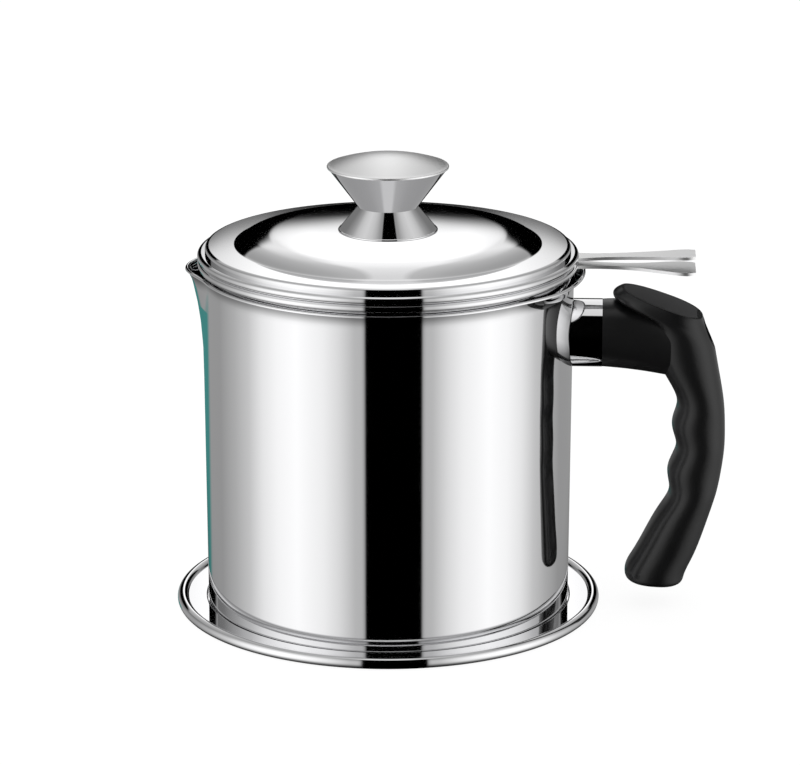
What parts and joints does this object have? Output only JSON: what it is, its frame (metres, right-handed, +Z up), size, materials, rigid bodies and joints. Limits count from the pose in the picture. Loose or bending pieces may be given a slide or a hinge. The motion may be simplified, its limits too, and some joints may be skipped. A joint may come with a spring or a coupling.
{
  "type": "grease strainer pot",
  "caption": "Polished steel grease pot with a pour spout, moulded side handle, nested lift-out strainers, knobbed lid and round drip tray.",
  "frame": {"origin": "centre of the drip tray's flat underside", "axes": "+Z up through the knob, +X towards the handle, -X towards the pour spout"},
  "size_m": [0.1799, 0.1396, 0.1505],
  "materials": {
    "polished_steel": "mirror polished stainless steel",
    "steel_mesh": "woven stainless wire mesh",
    "fastener_steel": "plain steel",
    "black_phenolic": "semi-gloss moulded phenolic",
    "grey_inlay": "matte"
  },
  "bodies": {
    "drip_tray": {"drip_tray": "polished_steel"},
    "pot": {"pot_body": "polished_steel", "handle_stud": "fastener_steel", "handle_ferrule": "polished_steel", "handle_grip": "black_phenolic", "thumb_rest_inlay": "grey_inlay", "handle_screw": "fastener_steel", "handle_lock_washer": "fastener_steel"},
    "fine_strainer": {"fine_strainer_rim": "polished_steel", "fine_strainer_mesh": "steel_mesh", "fine_strainer_band": "polished_steel", "fine_strainer_tab": "polished_steel"},
    "coarse_strainer": {"coarse_strainer_dish": "polished_steel", "coarse_strainer_tab": "polished_steel"},
    "lid": {"lid_shell": "polished_steel", "lid_locating_ring": "polished_steel", "knob_base": "polished_steel", "knob_cup": "polished_steel", "knob_cap": "polished_steel", "knob_screw": "fastener_steel", "knob_washer": "fastener_steel", "knob_nut": "fastener_steel"}
  },
  "joints": [
    {"name": "pot_lift", "type": "slide", "parent": "drip_tray", "child": "pot", "axis": [0, 0, 1], "range_m": [0, 0.06]},
    {"name": "fine_strainer_lift", "type": "slide", "parent": "pot", "child": "fine_strainer", "axis": [0, 0, 1], "range_m": [0, 0.06]},
    {"name": "coarse_strainer_lift", "type": "slide", "parent": "fine_strainer", "child": "coarse_strainer", "axis": [0, 0, 1], "range_m": [0, 0.05]},
    {"name": "lid_lift", "type": "slide", "parent": "coarse_strainer", "child": "lid", "axis": [0, 0, 1], "range_m": [0, 0.06]}
  ]
}
